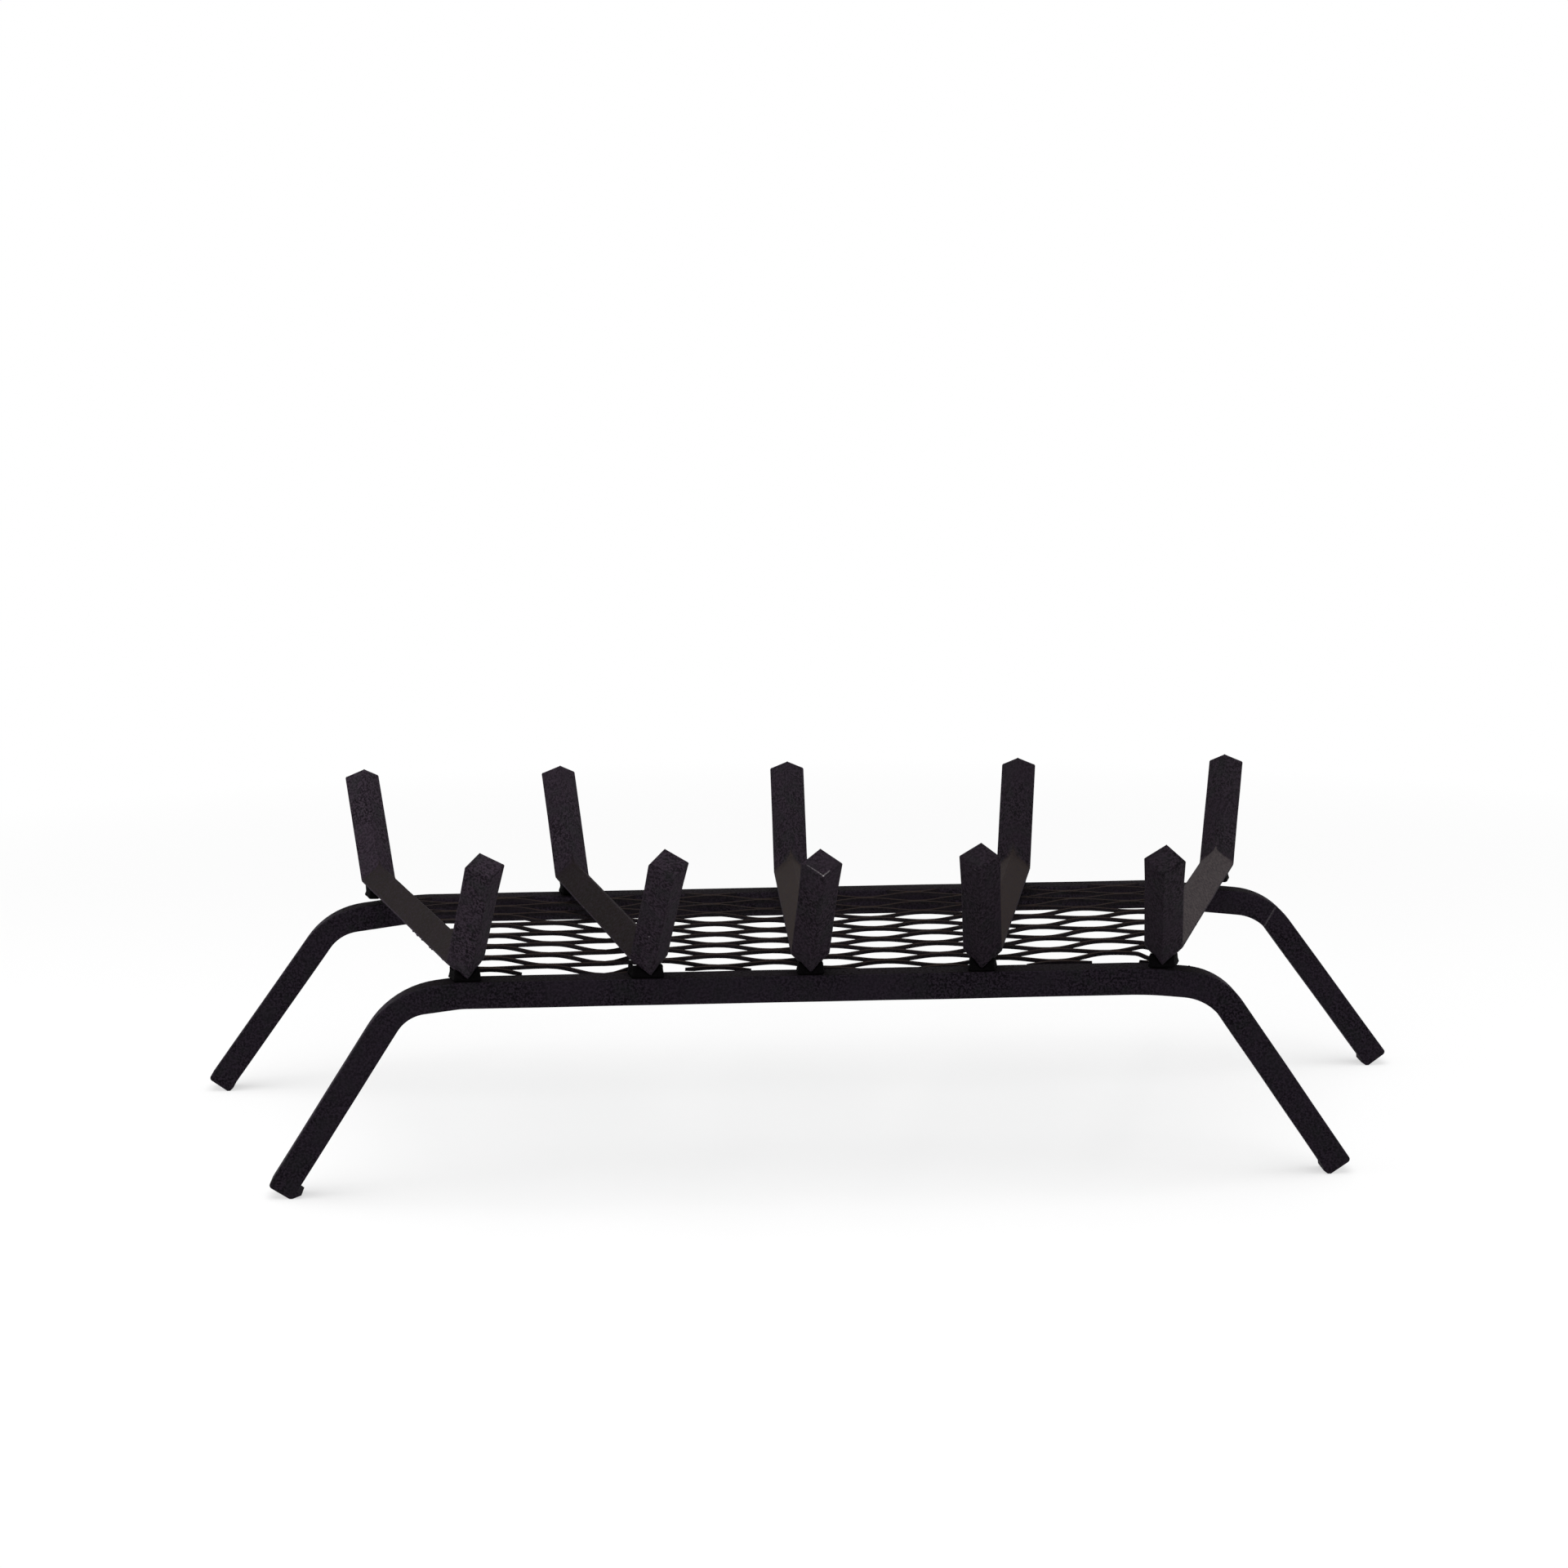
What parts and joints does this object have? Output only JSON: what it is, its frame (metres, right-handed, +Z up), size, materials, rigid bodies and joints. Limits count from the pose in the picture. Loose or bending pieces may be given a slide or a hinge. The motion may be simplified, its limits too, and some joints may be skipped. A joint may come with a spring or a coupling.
{
  "type": "log grate",
  "caption": "Black steel fireplace log grate with splayed square-bar frames, fanned cross bars turned up at both ends and an expanded-metal ember mesh.",
  "frame": {"origin": "middle of the footprint's bounding box, on the hearth", "axes": "+X along the rails, +Y from the narrow front frame to the wide rear frame, +Z up"},
  "size_m": [0.6238, 0.2648, 0.1657],
  "materials": {
    "frame_steel": "satin near-black heat-resistant paint over hot-rolled bar, rubbed thin on the edges and bends",
    "bar_steel": "satin near-black paint, mottled, with worn ridges and bare specks round the sheared ends",
    "mesh_steel": "thin dull brown-black paint over flattened expanded steel",
    "weld_steel": "near-black paint over rippled weld filler"
  },
  "bodies": {
    "root": {"front_frame": "frame_steel", "rear_frame": "frame_steel", "cross_bar_1": "bar_steel", "front_weld_1": "weld_steel", "rear_weld_1": "weld_steel", "mesh_tack_1_1": "weld_steel", "mesh_tack_1_2": "weld_steel", "cross_bar_2": "bar_steel", "front_weld_2": "weld_steel", "rear_weld_2": "weld_steel", "mesh_tack_2_1": "weld_steel", "mesh_tack_2_2": "weld_steel", "cross_bar_3": "bar_steel", "front_weld_3": "weld_steel", "rear_weld_3": "weld_steel", "mesh_tack_3_1": "weld_steel", "mesh_tack_3_2": "weld_steel", "cross_bar_4": "bar_steel", "front_weld_4": "weld_steel", "rear_weld_4": "weld_steel", "mesh_tack_4_1": "weld_steel", "mesh_tack_4_2": "weld_steel", "cross_bar_5": "bar_steel", "front_weld_5": "weld_steel", "rear_weld_5": "weld_steel", "mesh_tack_5_1": "weld_steel", "mesh_tack_5_2": "weld_steel", "ember_mesh": "mesh_steel"}
  },
  "joints": []
}
